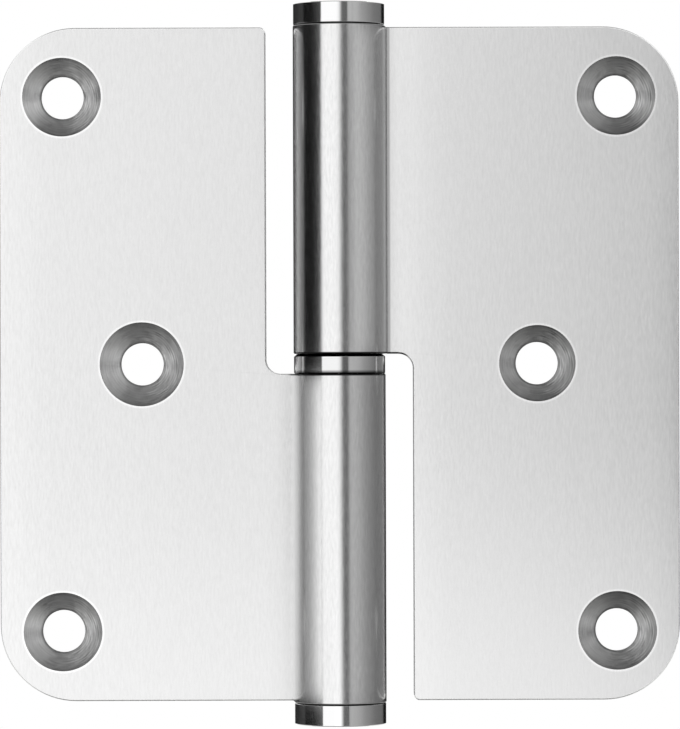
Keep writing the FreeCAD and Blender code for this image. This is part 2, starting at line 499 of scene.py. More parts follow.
@dataclass
class Leaf:
    """A leaf and its knuckle, which are one sheet rolled round the pin.

    Attributes:
        side: Which leaf it is; the frame's is the door's turned end for end.
        middle_sink_d: Diameter of the middle hole's countersink.
        face_lean: (distance from the pin in mm, slope) pairs, how far its face's normals
            lean towards the pin.
        joint_reach: How far from the pin the painted shade in the joint at the ring runs out.
        foot_lean: What its foot adds to that slope.
        seam_painted_shadow: How much darker its face is painted, as a shadow, where the knuckle's end comes
            down on it.
        flare_painted_shade: How much darker the knuckle's end is painted there, as shade, by flare_stops.
        sink_tone: How light its countersinks are.
        cap_share: How dark the painted shade in the joint at the plug is, against the one at the ring.
        rim_painted_highlight: How much lighter a countersink's rim is painted than the face, as a highlight.
        inner_rim_shade: How much darker the cone's inner rim is painted, as shade.
        outer_rim_shade: How much darker its outer rim is painted, as shade.
    """

    side: Side
    middle_sink_d: float
    face_lean: tuple
    joint_reach: float
    foot_lean: float = 0.0
    seam_painted_shadow: float = 0.0
    flare_painted_shade: float = 0.0
    sink_tone: float = 1.0
    sheet: float = 3.0
    half_height: float = 44.5
    reach: float = 44.9
    corner_r: float = 10.0
    inner_corner_r: float = 0.8
    edge_r: float = 0.2
    bore_r: float = 3.05
    seam_flare: float = 0.3
    seam_gap: float = 0.1
    knuckle_start: float = 1.3
    notch_x: float = 9.7
    notch_r: float = 1.9
    cell_z: float = 17.6
    hole_r: float = 2.8
    corner_sink_d: float = 10.4
    hole_break: float = 0.1
    back_band: float = 0.12
    rim_r: float = 0.04
    rim_band: float = 0.35
    sink_step: float = 0.06
    corner_hole_x: float = 36.65
    corner_hole_z: float = 35.35
    middle_hole_x: float = 26.15
    stretch: float = 1.1
    roll_steps: int = 133
    seam_rows: tuple = (0.1, 0.25, 0.4, 0.55)
    end_rows: int = 5
    face_rows: int = 15
    back_rows: int = 4
    row_growth: float = 1.2
    lean_from: float = 5.05
    joint_band: float = 0.08
    joint_fade: float = 0.7
    cap_share: float = 0.97
    cap_joint: float = 0.12
    cap_reach: float = 0.6
    cap_slope: float = 1.5
    seam_painted_shadow_x: float = 6.45
    seam_painted_shadow_w: float = 0.15
    flare_stops: tuple = ((5.4, 0), (5.8, 0.9), (6.05, 1), (6.35, 0.3))
    rim_painted_highlight: float = 0.24
    rim_rise: float = 0.15
    rim_fall: float = 0.6
    ring_pitch: float = 0.45
    ring_depth: float = 0.005
    fine_pitch: float = 0.37
    broad_pitch: float = 1.3
    ring_fade: float = 0.3
    calm: float = 0.18
    streak: float = 0.17
    inner_rim_shade: float = 0.55
    inner_rim_shade_w: float = 0.28
    outer_rim_shade: float = 0.12
    outer_rim_shade_w: float = 0.3

    @property
    def knuckle_r(self) -> float:
        """Outer radius of the knuckle, which is also how far back the leaf's back lies."""
        return self.bore_r + self.sheet

    @property
    def join_x(self) -> float:
        """Where the plate takes over from the rolled strip: at the notch's round."""
        return self.notch_x - self.notch_r

    def evenly(self, start: float, end: float) -> np.ndarray:
        """Even steps from start to end, none longer than the mesh's stretch."""
        return np.linspace(start, end, math.ceil(abs(end - start) / self.stretch) + 1)

    def edge_profile(self) -> tuple[np.ndarray, np.ndarray]:
        """The sheet's rounded edge, seen along it.

        Returns:
            Points as (depth from the face, inset from the edge), and normals as (into
            the depth, out of the edge).
        """
        corners = [(0, self.edge_r), (0, 0), (self.sheet, 0), (self.sheet, self.edge_r)]
        points, normals = rounded_run(corners, [self.edge_r, self.edge_r], step=22.5)
        return points[1:-1], np.stack([normals[1:-1, 0], -normals[1:-1, 1]], axis=1)

    def levels(self) -> np.ndarray:
        """Heights on the strip's flat, from its top down, with the cells' border among them."""
        top = self.half_height - self.edge_r
        low = self.knuckle_start + self.edge_r
        middle = [self.evenly(top, self.cell_z)[1:], self.evenly(self.cell_z, low)[1:-1]]
        return np.concatenate([[top, top - self.joint_band], *middle, [low + self.joint_band, low]])

    def stations(self) -> tuple[np.ndarray, np.ndarray, np.ndarray]:
        """The sheet's two faces, from the plate's join round the pin to the seam.

        Along the plate the faces are straight. Round the pin they are circles of the
        bore's and the knuckle's radius, from the back over the far side and the front.
        At the end both leave their circle on a tangent and stop level, just clear of
        the plate's face.

        Returns:
            Inner points, outer points, and the outward normal at each.
        """
        beside_seam = self.knuckle_r + np.array(self.seam_rows)
        straight = np.sort(np.concatenate([self.evenly(self.join_x, 0), beside_seam]))[::-1]
        end = np.array([self.knuckle_r + self.seam_flare, self.bore_r - self.seam_gap])
        leave = math.atan2(end[1], end[0]) - math.acos(self.knuckle_r / math.hypot(*end))
        turns = np.linspace(math.pi / 2, leave + 2 * math.pi, self.roll_steps)
        rays = np.stack([np.cos(turns), np.sin(turns)], axis=1)
        outer_run = end - self.knuckle_r * rays[-1]
        way = outer_run / np.linalg.norm(outer_run)
        inner_run = way * (end[1] - self.bore_r * rays[-1][1]) / way[1]
        shares = np.linspace(0, 1, self.end_rows)[1:, None]
        lines = []
        for radius, run in ((self.bore_r, inner_run), (self.knuckle_r, outer_run)):
            flat = np.stack([straight, np.full_like(straight, radius)], axis=1)
            lines.append(np.concatenate([flat, radius * rays[1:], radius * rays[-1] + shares * run]))
        backward = np.tile([0.0, 1.0], (len(straight), 1))
        return *lines, np.concatenate([backward, rays[1:], np.tile(rays[-1], (len(shares), 1))])

    def add_roll(self, skin: Skin) -> None:
        """Adds the strip and the knuckle: the sheet's rounded section, carried round the pin.

        Args:
            skin: The mesh that it goes into.
        """
        inner, outer, normals = self.stations()
        edge, edge_normals = self.edge_profile()
        levels = self.levels()
        none = np.zeros(len(levels))
        one = np.ones(len(levels))
        upper = self.half_height - edge[:, 1]
        lower = self.knuckle_start + edge[::-1, 1]
        lines = (
            (edge[:, 0], one * self.sheet, edge[::-1, 0], none),
            (upper, levels, lower, levels[::-1]),
            (edge_normals[:, 0], one, edge_normals[::-1, 0], -one),
            (edge_normals[:, 1], none, -edge_normals[::-1, 1], none),
        )
        depth, height, through, upward = (np.concatenate([*parts, parts[0][:1]]) for parts in lines)
        share = (depth / self.sheet)[None, :, None]
        flat = inner[:, None, :] * (1 - share) + outer[:, None, :] * share
        grid = flat.shape[:2]
        points = np.concatenate([flat, np.broadcast_to(height[None, :, None], (*grid, 1))], axis=2)
        run = np.broadcast_to((self.join_x - along(outer))[:, None], grid)
        up = np.broadcast_to(upward[None, :, None], (*grid, 1))
        facing = np.concatenate([normals[:, None, :] * through[None, :, None], up], axis=2)
        on_face = np.clip(points[:, :, 0] - self.lean_from, 0, 1) * np.clip(-through, 0, 1)
        facing[:, :, 0] -= on_face * self.leaning(points[:, :, [0, 2]])
        rolled = np.arange(len(inner)) >= int((normals[:, 1] == 1).sum())
        tone = self.roll_tone(points, on_face, through > 0, np.where(rolled, 0, inner[:, 0])[:, None])
        skin.add(points, facing, np.stack([run, points[:, :, 2]], axis=2), tone=tone)
        self.add_seam_end(skin, inner[-1], outer[-1], edge, levels)

    def roll_tone(self, points: np.ndarray, on_face: np.ndarray, outside: np.ndarray, away: np.ndarray):
        """How light the roll is: a painted shadow beside the seam, painted shade on the knuckle's end, and
        nearly black painted shade at the joints.

        Args:
            points: Rows by columns by 3.
            on_face: How far each point is on the leaf's face.
            outside: Which columns are on the roll's outer side.
            away: How far each row is from the pin, and 0 round it.

        Returns:
            Rows by columns of tone.
        """
        x = points[:, :, 0]
        height = points[:, :, 2]
        from_ring = height - self.knuckle_start
        # Painted shade in the joints at the ring and at the plug, fading away from the pin.
        at_ring = np.interp(from_ring, [self.edge_r, self.edge_r + self.joint_band], [1, 0])
        cap_band = [self.cap_joint, self.edge_r + self.joint_band / 2]
        at_cap = np.interp(self.half_height - height, cap_band, [self.cap_share, 0])
        near_ring = np.clip((self.joint_reach - away) / self.joint_fade, 0, 1)
        near_cap = np.clip(self.cap_slope * (self.knuckle_r + self.cap_reach - away), 0, 1)
        joint = np.maximum(at_ring * near_ring, at_cap * near_cap)
        # A painted shadow on the face beside the seam.
        beside = np.clip(2 - abs(x - self.seam_painted_shadow_x) / self.seam_painted_shadow_w, 0, 1)
        # Painted shade on the front of the knuckle's end, where it comes down by the leaf.
        in_front = (points[:, :, 1] < self.bore_r) & outside
        flare = self.flare_painted_shade * in_front * np.interp(x, *zip(*self.flare_stops))
        shade = np.maximum(self.seam_painted_shadow * beside * on_face, flare)
        return 1 - np.maximum(shade, JOINT_PAINTED_SHADE * joint)

    def add_seam_end(
        self, skin: Skin, inner: np.ndarray, outer: np.ndarray, edge: np.ndarray, levels: np.ndarray
    ) -> None:
        """Closes the roll's end, a flat from its inner to its outer corner.

        Args:
            skin: The mesh that it goes into.
            inner: The end's corner at the bore.
            outer: Its corner at the seam.
            edge: The sheet's edge profile.
            levels: Heights on the strip's flat.
        """
        share = (edge[:, 0] / self.sheet)[:, None]
        across = inner * (1 - share) + outer * share
        flats = np.broadcast_to(levels[:, None], (len(levels), len(edge)))
        heights = np.concatenate([[self.half_height - edge[:, 1]], flats, [self.knuckle_start + edge[:, 1]]])
        points = np.concatenate([np.broadcast_to(across, (*heights.shape, 2)), heights[:, :, None]], axis=2)
        skin.add(points, np.array([0.0, 1.0, 0.0]), points[:, :, [0, 2]], Surface.EDGE)

    def runs(self) -> dict[str, tuple[np.ndarray, np.ndarray]]:
        """The plate's outline, anticlockwise from the join, cut where the cells meet it.

        Returns:
            For each run its points as (x, z), and normals that point out of the plate.
        """
        left = self.notch_x
        right = self.reach
        high = self.half_height
        start = self.knuckle_start
        cell = self.cell_z
        outline = {
            "notch": ([(self.join_x, start), (left, start), (left, -cell)], [self.notch_r]),
            "low": (
                [(left, -cell), (left, -high), (right, -high), (right, -cell)],
                [self.inner_corner_r, self.corner_r],
            ),
            "outer": ([(right, -cell), (right, cell)], []),
            "top": ([(right, cell), (right, high), (self.join_x, high)], [self.corner_r]),
        }
        rounded = {name: rounded_run(*parts, step=5.0) for name, parts in outline.items()}
        return {name: divided(*run, self.stretch) for name, run in rounded.items()}

    def add_rims(self, skin: Skin, runs: dict) -> None:
        """Adds the plate's rounded edges: the edge profile, carried along each run.

        Args:
            skin: The mesh that they go into.
            runs: The plate's outline.
        """
        edge, edge_normals = self.edge_profile()
        for points, normals in runs.values():
            flat = points[:, None, :] - edge[None, :, 1, None] * normals[:, None, :]
            y = np.broadcast_to(self.bore_r + edge[None, :, 0], flat.shape[:2])
            solid = np.stack([flat[:, :, 0], y, flat[:, :, 1]], axis=2)
            out = normals[:, None, :] * edge_normals[None, :, 1, None]
            through = np.broadcast_to(edge_normals[None, :, 0], flat.shape[:2])
            facing = np.stack([out[:, :, 0], through, out[:, :, 1]], axis=2)
            run = np.broadcast_to(along(points)[:, None], flat.shape[:2])
            # The plate's rounded edge by the ring's joint gets the same painted shade, fading away from the
            # pin.
            dark = np.clip((self.joint_reach - flat[:, :, 0]) / self.joint_fade, 0, 1)
            dark = dark * (abs(flat[:, :, 1]) < self.cell_z / 2)
            skin.add(solid, facing, np.stack([run, y], axis=2), Surface.EDGE, 1 - JOINT_PAINTED_SHADE * dark)

    def cells(self, runs: dict) -> list[np.ndarray]:
        """The borders of the plate's three cells, each a closed line round one hole.

        Args:
            runs: The plate's outline.

        Returns:
            The top, middle and low cells' borders as (x, z) points, anticlockwise.
        """
        inset = {name: points - self.edge_r * normals for name, (points, normals) in runs.items()}
        levels = self.levels()
        join = np.stack([np.full_like(levels, self.join_x), levels], axis=1)
        cut = int(np.argmin(abs(levels - self.cell_z)))
        right = self.reach - self.edge_r
        upper_x = self.evenly(self.join_x, right)
        lower_x = np.linspace(self.notch_x + self.edge_r, right, len(upper_x))
        upper = np.stack([upper_x, np.full_like(upper_x, self.cell_z)], axis=1)
        lower = np.stack([lower_x, np.full_like(lower_x, -self.cell_z)], axis=1)
        return [
            np.concatenate([upper, inset["top"], join[: cut + 1]]),
            np.concatenate([join[cut:], inset["notch"], lower, inset["outer"], upper[::-1]]),
            np.concatenate([inset["low"], lower[::-1], inset["low"][:1]]),
        ]

    def sink_runs(self, sink_d: float) -> list[tuple[np.ndarray, np.ndarray]]:
        """One hole's section from the back to the face, cut into its wall, cone and rim.

        Args:
            sink_d: Diameter of the countersink at the face.

        Returns:
            For each of the three its points as (radius, y), and normals out of the steel.
        """
        face = self.bore_r
        sink_r = sink_d / 2
        corners = [
            (self.hole_r + self.back_band, self.knuckle_r),
            (self.hole_r, self.knuckle_r),
            (self.hole_r, face + sink_r - self.hole_r),
            (sink_r, face),
            (sink_r + self.rim_band, face),
        ]
        radii = [self.hole_break, self.hole_break, self.rim_r]
        points, normals = divided(*rounded_run(corners, radii, step=15.0), self.sink_step)
        on_cone = np.flatnonzero(abs(normals[:, 1] + math.sqrt(0.5)) < 1e-6)
        ends = [0, on_cone[0], on_cone[-1], len(points) - 1]
        return [(points[a : b + 1], normals[a : b + 1]) for a, b in zip(ends[:-1], ends[1:])]

    def leaning(self, flat: np.ndarray) -> np.ndarray:
        """Slope of the face's normals towards the pin: ground sheet is never quite flat.

        It follows the distance from the pin, and grows from the leaf's middle to its foot.

        Args:
            flat: Points as (x, z).

        Returns:
            The slope at each.
        """
        share = np.clip(-flat[..., 1] / self.half_height, 0, 1)
        slope = np.interp(flat[..., 0], *zip(*self.face_lean))
        return slope + self.foot_lean * share * share * (3 - 2 * share)

    def add_hole(self, skin: Skin, rays: Rays, sink_d: float) -> None:
        """Adds a hole's wall, cone and rim, and the flats round it, out to its cell's border.

        The section is turned through the rays from the hole's centre to the border's
        points. A flat's point at share s lies at s of the way along such a ray from the
        rim to the border.

        Args:
            skin: The mesh that they go into.
            rays: The hole's rays.
            sink_d: Diameter of the countersink.
        """
        wall, cone, rim = self.sink_runs(sink_d)
        self.add_turned(skin, rays, wall[0], wall[1][:, None, :], Surface.WALL, 1.0)
        self.add_cone(skin, rays, *cone)
        # A painted highlight on the rim round each countersink, rising and falling across its band.
        outward = (rim[0][:, 0] - rim[0][0, 0]) / self.rim_band
        swell = np.minimum(outward / self.rim_rise, (1 - outward) / self.rim_fall)
        bright = 1 + self.rim_painted_highlight * np.clip(swell, 0, 1)
        self.add_turned(skin, rays, rim[0], rim[1][:, None, :], Surface.SHEET, bright[:, None])
        front = (rim[0][-1, 0], self.bore_r, -1.0, self.face_rows)
        back = (wall[0][0, 0], self.knuckle_r, 1.0, self.back_rows)
        for rim_r, y, way_out, count in (front, back):
            shares = np.linspace(0, 1, count)[:, None, None] ** self.row_growth
            edge = np.array(rays.centre) + rim_r * rays.ways
            flat = edge[None] * (1 - shares) + rays.border[None] * shares
            points = np.insert(flat, 1, y, axis=2)
            normals = np.zeros_like(points)
            normals[:, :, 1] = way_out
            if way_out < 0:
                normals[:, :, 0] = -self.leaning(flat)
            skin.add(points, normals, flat)

    def add_turned(
        self,
        skin: Skin,
        rays: Rays,
        section: np.ndarray,
        facing: np.ndarray,
        surface: Surface,
        tone: np.ndarray | float,
    ) -> None:
        """Adds a section turned round a hole's axis.

        A point of the section at radius r goes to r times each ray from the centre.

        Args:
            skin: The mesh that it goes into.
            rays: The hole's rays.
            section: Points as (radius, y), each one for all rays or one for each.
            facing: Normals in the same way.
            surface: The finish on it.
            tone: How much lighter or darker the steel is.
        """
        grid = (len(section), len(rays.ways))
        section = np.broadcast_to(section if section.ndim == 3 else section[:, None, :], (*grid, 2))
        facing = np.broadcast_to(facing, (*grid, 2))
        flat = np.array(rays.centre) + section[:, :, :1] * rays.ways
        points = np.stack([flat[:, :, 0], section[:, :, 1], flat[:, :, 1]], axis=2)
        out = facing[:, :, :1] * rays.ways
        normals = np.stack([out[:, :, 0], facing[:, :, 1], out[:, :, 1]], axis=2)
        if surface is Surface.SHEET:
            places = flat
            normals[:, :, 0] -= self.leaning(places)
        else:
            slope = along(section[:, 0])[:, None]
            places = np.stack(np.broadcast_arrays(rays.angle * section[-1, 0, 0], slope), axis=2)
        skin.add(points, normals, places, surface, tone)

    def add_cone(self, skin: Skin, rays: Rays, section: np.ndarray, facing: np.ndarray) -> None:
        """Adds a countersink's cone, with the rings and the chatter that the tool left.

        The rings are a sine along the slope, deeper on the side where the tool
        chattered, and they die out at both rims. The normals lean with them. The steel
        is painted darker at both rims, as shade, more at some angles than at others. It is
        painted lighter to the left and right and darker at the top and bottom, and lighter
        towards the hole, as painted light and shade. Over it lie streaks at the rings'
        pitch and two others, whose phases swing with the angle so that they run as arcs.

        Args:
            skin: The mesh that it goes into.
            rays: The hole's rays.
            section: Points as (radius, y).
            facing: Their normals.
        """
        circle = 2 * math.pi
        seen = rays.angle + (math.pi if self.side is Side.FRAME else 0.0)
        slope = along(section)[:, None]
        length = slope[-1, 0]
        inside = np.clip(np.minimum(slope, length - slope) / self.ring_fade, 0, 1)
        shake = 0.65 + 0.35 * np.sin(7 * seen + 3 * slope)
        chatter = self.calm + (1 - self.calm) * np.clip(2.5 * np.cos(seen), 0, 1) * shake
        size = self.ring_depth * chatter * inside
        phase = circle * slope / self.ring_pitch + 0.8 * np.sin(2 * seen) + 0.5 * np.sin(5 * seen)
        lean = size * circle / self.ring_pitch * np.cos(phase)
        way = np.stack([-facing[:, 1], facing[:, 0]], axis=1)[:, None, :]
        moved = section[:, None, :] + (size * np.sin(phase))[:, :, None] * facing[:, None, :]
        leaning = facing[:, None, :] - lean[:, :, None] * way
        # Painted shade at both rims, deeper at some angles than at others.
        inner = (self.inner_rim_shade - 0.2 * np.cos(seen + 0.4)) * np.exp(-((slope / self.inner_rim_shade_w) ** 2))
        outer = self.outer_rim_shade + 0.25 * np.sin(seen) ** 2 * (1 + 0.35 * np.cos(seen))
        outer = outer * np.exp(-(((length - slope) / self.outer_rim_shade_w) ** 2))
        arcs = np.sin(phase + 1.0)
        arcs += 0.8 * np.sin(circle * slope / self.fine_pitch + 2.5 * np.sin(3 * seen))
        broad = np.sin(circle * slope / self.broad_pitch + 3 * np.sin(2 * seen + 1))
        arcs += 1.2 * broad * np.sin(9 * seen + 2 * slope)
        streaks = self.streak * chatter * arcs * inside
        # Painted light and shade: lighter to the left and right, darker at the top and bottom, and lighter
        # towards the hole.
        fall = 0.3 + 0.2 * np.cos(seen) + 0.15 * np.sin(seen) ** 2
        smooth = (1 + 0.3 * np.cos(2 * seen)) * (1 + 0.14 * np.cos(4 * seen))
        smooth = smooth * (1 + fall * (0.5 - slope / length))
        tone = self.sink_tone * smooth * (1 - inner - outer + streaks)
        self.add_turned(skin, rays, moved, leaning, Surface.SINK, tone)

    def build(self) -> bpy.types.Object:
        """Builds and dresses the leaf.

        Returns:
            The leaf's object.
        """
        skin = Skin("frame_leaf_sheet" if self.side is Side.FRAME else "door_leaf_sheet")
        self.add_roll(skin)
        runs = self.runs()
        self.add_rims(skin, runs)
        holes = (
            ((self.corner_hole_x, self.corner_hole_z), self.corner_sink_d),
            ((self.middle_hole_x, 0.0), self.middle_sink_d),
            ((self.corner_hole_x, -self.corner_hole_z), self.corner_sink_d),
        )
        for border, (centre, sink_d) in zip(self.cells(runs), holes):
            self.add_hole(skin, Rays(centre, border), sink_d)
        turn = np.array([self.side.value, 1.0, self.side.value])
        for patch in skin.patches:
            patch.points = patch.points * turn
            patch.normals = patch.normals * turn
            patch.places = patch.places * self.side.value
        made = skin.build()
        for finish in (BRUSHED_SHEET, COUNTERSINK_CUT_AND_SHADED, BLANKED_EDGE, HOLE_WALL_DRILLED_AND_SHADED):
            made.data.materials.append(finish_material(finish))
        return made


@dataclass(frozen=True)
class Splines:
    """V teeth rolled into a bar, so that it bites in a bore."""

    foot: float = -17.3
    top: float = -5.3
    crest_r: float = 3.05
    depth: float = 0.18
    count: int = 24

    def rise(self, section: np.ndarray, angle: np.ndarray) -> np.ndarray:
        """How far they raise the surface: a triangle wave round it, within their length.

        Args:
            section: The bar's section as (radius, z).
            angle: The columns' angles, in radians.

        Returns:
            Rows by columns of mm.
        """
        share = angle * self.count / (2 * math.pi) % 1
        crest = self.crest_r - self.depth * (1 - abs(2 * share - 1))
        z = section[:, 1]
        cut = (z > self.foot) & (z < self.top) & (section[:, 0] > self.crest_r - 2 * self.depth)
        return np.where(cut[:, None], crest[None, :] - section[:, 0, None], 0.0)


@dataclass
class TurnedPiece:
    """A piece turned in a lathe: a section carried round the pin's axis.

    Attributes:
        name: The piece's name.
        corners: The section's corners as (radius, z), anticlockwise.
        radii: The round at each inner corner.
        finish: Its steel.
        turned_over: Whether it stands end for end.
        splines: The teeth rolled into it, if any.
        joint: Heights below and above which its rim is painted dark, as the shade in a joint.
        joint_depth: How far in from its outside it is painted dark there.
        longest: The longest stretch of the section between two rows.
        segments: Columns round the axis.
    """

    name: str
    corners: list
    radii: list
    finish: Steel = GROUND_BAR
    turned_over: bool = False
    splines: Splines | None = None
    joint: tuple = (-100.0, 100.0)
    joint_depth: float = 0.55
    longest: float = 0.5
    segments: int = 144

    def build(self) -> bpy.types.Object:
        """Builds and dresses the piece.

        A point of the section at radius r and height z becomes (r cos a, r sin a, z)
        for each angle a round the axis.

        Returns:
            The piece's object.
        """
        section, facing = divided(*rounded_run(self.corners, self.radii, step=15.0), self.longest)
        angle = np.linspace(0, 2 * math.pi, self.segments + 1)
        across = np.repeat(section[:, :1], len(angle), axis=1)
        if self.splines:
            across = across + self.splines.rise(section, angle)
        height = np.broadcast_to(section[:, 1, None], across.shape)
        points = np.stack([across * np.cos(angle), across * np.sin(angle), height], axis=2)
        lean = np.gradient(across, angle, axis=1) / np.maximum(across, 1e-6)
        out = facing[:, 0, None]
        out_x = out * (np.cos(angle) + lean * np.sin(angle))
        out_y = out * (np.sin(angle) - lean * np.cos(angle))
        normals = np.stack([out_x, out_y, np.broadcast_to(facing[:, 1, None], across.shape)], axis=2)
        places = np.stack(np.broadcast_arrays(angle * section[:, 0].max(), along(section)[:, None]), axis=2)
        turn = np.array([-1.0, 1.0, -1.0]) if self.turned_over else np.ones(3)
        # The rim in a joint is painted nearly black, as the shade that falls there.
        dark = (section[:, 1] < self.joint[0]) | (section[:, 1] > self.joint[1])
        dark &= section[:, 0] > section[:, 0].max() - self.joint_depth
        skin = Skin(self.name)
        skin.add(points * turn, normals * turn, places, tone=1 - JOINT_PAINTED_SHADE * dark[:, None])
        made = skin.build()
        made.data.materials.append(finish_material(self.finish))
        return made


@dataclass
class EndCap:
    """A turned plug: a flat head on the knuckle's end, and a spigot in its bore."""

    name: str
    turned_over: bool
    head_r: float = 6.0
    seat: float = 44.5
    head: float = 2.8
    end_break: float = 0.08
    seat_break: float = 0.12
    spigot_r: float = 3.03
    spigot: float = 5.0
    spigot_break: float = 0.5
    joint_top: float = 0.09

    def build(self) -> bpy.types.Object:
        """Builds and dresses the cap.

        Returns:
            The cap's object.
        """
        top = self.seat + self.head
        end = self.seat - self.spigot
        corners = [
            (0, end),
            (self.spigot_r - self.spigot_break, end),
            (self.spigot_r, end + self.spigot_break),
            (self.spigot_r, self.seat),
            (self.head_r - self.seat_break, self.seat),
            (self.head_r, self.seat + self.seat_break),
            (self.head_r, top - self.end_break),
            (self.head_r - self.end_break, top),
            (0, top),
        ]
        radii = [0.1, 0.1, 0.0, 0.03, 0.03, 0.04, 0.04]
        # The seat's edge is painted nearly black, as the shade in the joint.
        joint = (self.seat + self.joint_top, top + 1)
        return TurnedPiece(self.name, corners, radii, TURNED_PLUG, self.turned_over, joint=joint).build()


@dataclass
class BearingRing:
    """The loose ring between the knuckles, which it all but touches so that no light comes through."""

    bore_r: float = 3.05
    outer_r: float = 6.0
    thickness: float = 2.58
    top_break: float = 0.34
    top_depth: float = 0.4
    foot_break: float = 0.1
    bore_break: float = 0.2

    def build(self) -> bpy.types.Object:
        """Builds and dresses the ring.

        Returns:
            The ring's object.
        """
        top = self.thickness / 2
        foot = -top
        corners = [
            (self.bore_r, 0),
            (self.bore_r, foot + self.bore_break),
            (self.bore_r + self.bore_break, foot),
            (self.outer_r - self.foot_break, foot),
            (self.outer_r, foot + self.foot_break),
            (self.outer_r, top - self.top_break),
            (self.outer_r - self.top_depth, top),
            (self.bore_r + self.bore_break, top),
            (self.bore_r, top - self.bore_break),
            (self.bore_r, 0),
        ]
        radii = [0.05, 0.05, 0.03, 0.03, 0.06, 0.06, 0.05, 0.05]
        # Both chamfers are painted nearly black, as the shade in the joints.
        joint = (foot + self.foot_break + 0.06, top - self.top_break - 0.01)
        return TurnedPiece("bearing_ring_turned", corners, radii, joint=joint).build()


@dataclass
class HingePin:
    """The fixed pin, splined where it bites in the lower knuckle."""

    radius: float = 3.0
    foot: float = -39.2
    foot_break: float = 0.5
    tip: float = 38.0
    taper: float = 1.4
    draw: float = 0.4
    tip_r: float = 0.8

    def build(self) -> bpy.types.Object:
        """Builds and dresses the pin.

        Returns:
            The pin's object.
        """
        corners = [
            (0, self.foot),
            (self.radius - self.foot_break, self.foot),
            (self.radius, self.foot + self.foot_break),
            (self.radius, self.tip - self.taper),
            (self.radius - self.draw, self.tip),
            (0, self.tip),
        ]
        radii = [0.15, 0.15, 0.6, self.tip_r]
        return TurnedPiece("hinge_pin_turned", corners, radii, splines=Splines()).build()


def glow_mesh(
    name: str, points: np.ndarray, faces: np.ndarray, levels: np.ndarray, aim: float, aim_give: float
) -> None:
    """Adds a glowing studio card that only reflections see.

    A ray's distance from the pin's axis is the Z of the cross product of the card's
    point and the ray's direction. The card is clear for rays that pass elsewhere than
    at its aim, as a card behind a honeycomb grid is.

    Args:
        name: What it is.
        points: Its points, in m.
        faces: Its faces, as point numbers.
        levels: The brightness at each point.
        aim: Rays that pass this far from the pin's axis see it, in m.
        aim_give: How far off that a ray may pass, in m.
    """
    mesh = bpy.data.meshes.new(name)
    mesh.from_pydata(points.tolist(), [], faces.tolist())
    mesh.attributes.new("glow", "FLOAT", "POINT").data.foreach_set("value", levels.ravel())
    paint = bpy.data.materials.new(name)
    tree = empty_tree(paint)
    level = add_node(tree, "ShaderNodeAttribute", attribute_name="glow")
    glow = add_node(tree, "ShaderNodeEmission", {"Color": WHITE, "Strength": level.outputs["Fac"]})
    place = add_node(tree, "ShaderNodeTexCoord")
    ray = add_node(tree, "ShaderNodeNewGeometry")
    arms = {0: place.outputs["Object"], 1: ray.outputs["Incoming"]}
    across = add_node(tree, "ShaderNodeVectorMath", arms, operation="CROSS_PRODUCT")
    parts = add_node(tree, "ShaderNodeSeparateXYZ", {0: across.outputs[0]})
    off = add_node(tree, "ShaderNodeMath", {0: parts.outputs["Z"]}, operation="ABSOLUTE")
    seen = add_node(tree, "ShaderNodeMath", {0: off.outputs[0], 1: aim, 2: aim_give}, operation="COMPARE")
    clear = add_node(tree, "ShaderNodeBsdfTransparent")
    mixed = {0: seen.outputs[0], 1: clear.outputs[0], 2: glow.outputs[0]}
    shown = add_node(tree, "ShaderNodeMixShader", mixed)
    add_node(tree, "ShaderNodeOutputMaterial", {"Surface": shown.outputs[0]})
    paint.cycles.emission_sampling = "NONE"
    mesh.materials.append(paint)
    made = add_object(name, mesh)
    made.visible_camera = False
    made.visible_diffuse = False
    made.visible_shadow = False
    made.visible_transmission = False


# Radius of the far cards and of the near ones, round the pin, in m
FAR = 3.0
NEAR = 0.062

# Heights at which the near cards start and stop, in m: by the ring, past the plugs' ends, and beyond
SPLIT = 0.0018
PLUG_END = 0.0478
NEAR_TOP = 0.055

# Rays that pass closer to the pin's axis than this meet the barrel and not the leaves, in m
BARREL_ONLY = 0.007

# Farther from the pin's axis than any ray passes, in m
SEEN_BY_ALL = 4.0


@dataclass(frozen=True)
class Card:
    """A curved card round the hinge.

    Attributes:
        name: What it is.
        stops: (azimuth, brightness) pairs; 0 is where the camera stands, and the
            azimuth grows towards +X.
        rows: (height in m, share) pairs from the card's foot to its top; the share is
            how much of the foot's extra brightness counts there.
        distance: Its radius round the pin, in m.
        foot_gain: (azimuth, gain) pairs, the extra brightness at the card's foot.
        aim: Rays that pass this far from the pin's axis see it, in m.
        aim_give: How far off that a ray may pass, in m.
    """

    name: str
    stops: tuple
    rows: tuple = ((-0.6, 1), (-0.24, 1), (-0.1, 0), (0.6, 0))
    distance: float = FAR
    foot_gain: tuple = ((0, 0),)
    aim: float = 0.0
    aim_give: float = SEEN_BY_ALL

    def build(self) -> None:
        """Builds the card: an upright strip of a cylinder, with its brightness on its points."""
        first_turn = self.stops[0][0]
        last_turn = self.stops[-1][0]
        turns = np.linspace(first_turn, last_turn, max(2, int(2 * (last_turn - first_turn))) + 1)
        heights, shares = (np.array(line, dtype=float) for line in zip(*self.rows))
        gain = np.interp(turns, *zip(*self.foot_gain))
        glow = np.interp(turns, *zip(*self.stops)) * (1 + gain * shares[:, None])
        rays = np.radians(turns)
        flat = (self.distance * np.sin(rays), -self.distance * np.cos(rays))
        count = len(turns)
        first = (np.arange(len(heights) - 1)[:, None] * count + np.arange(count - 1)).ravel()
        faces = np.stack([first, first + 1, first + 1 + count, first + count], axis=1)
        points = np.stack(np.broadcast_arrays(*flat, heights[:, None]), axis=2).reshape(-1, 3)
        glow_mesh(self.name, points, faces, glow, self.aim, self.aim_give)


